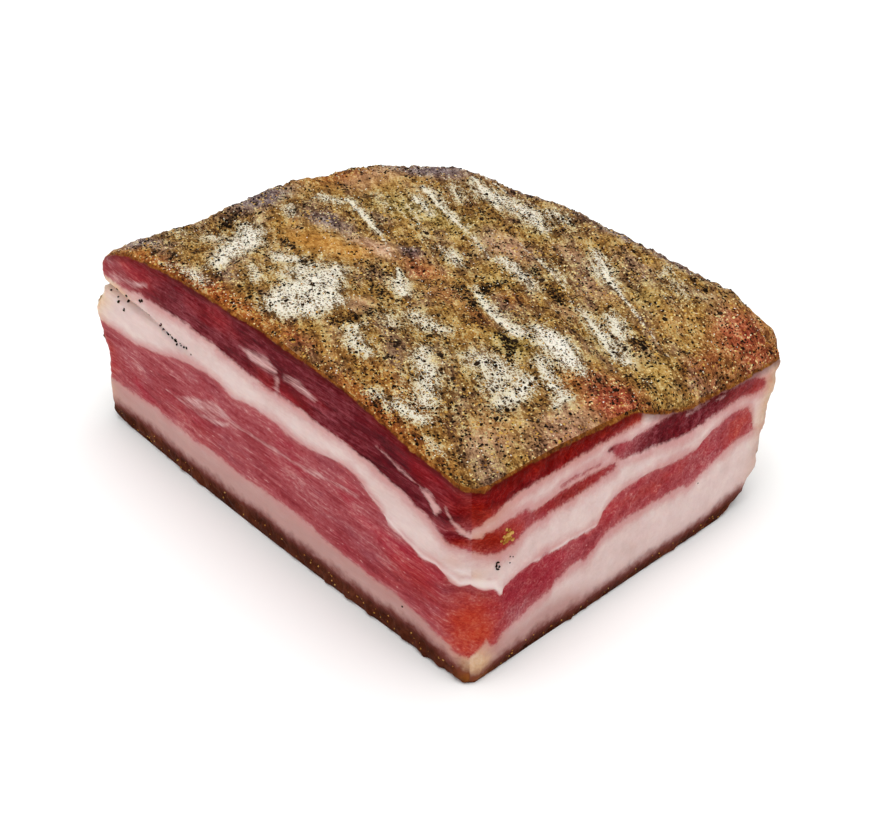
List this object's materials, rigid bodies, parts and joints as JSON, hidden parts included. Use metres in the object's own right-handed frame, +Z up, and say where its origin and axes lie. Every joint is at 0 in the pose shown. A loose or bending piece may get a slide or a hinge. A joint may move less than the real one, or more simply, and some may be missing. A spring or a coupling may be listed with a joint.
{
  "type": "pancetta slab",
  "caption": "Square-cut slab of cured pork belly: layers of lean and fat on the cut faces, a spiced crust on top and dark rind below.",
  "frame": {"origin": "centre of the bounding box at the underside that the slab rests on", "axes": "+Z up through the layers from rind to crust, +X along the long cut face towards the near corner, the long cut face looks to -Y and the short cut face to +X"},
  "size_m": [0.1548, 0.121, 0.065],
  "materials": {
    "cured_meat": "fresh-cut cured belly: moist rosy lean with fine grain between layers of pearly pink-white fat, satin sheen",
    "spiced_crust": "dried ochre-brown crust with cracked pepper and patches of white bloom, matt and grainy",
    "rind": "dark brown cured rind, low sheen",
    "cracked_pepper": "rough black pepper grains and flakes, matt"
  },
  "bodies": {
    "root": {"pancetta": "cured_meat"}
  },
  "joints": []
}
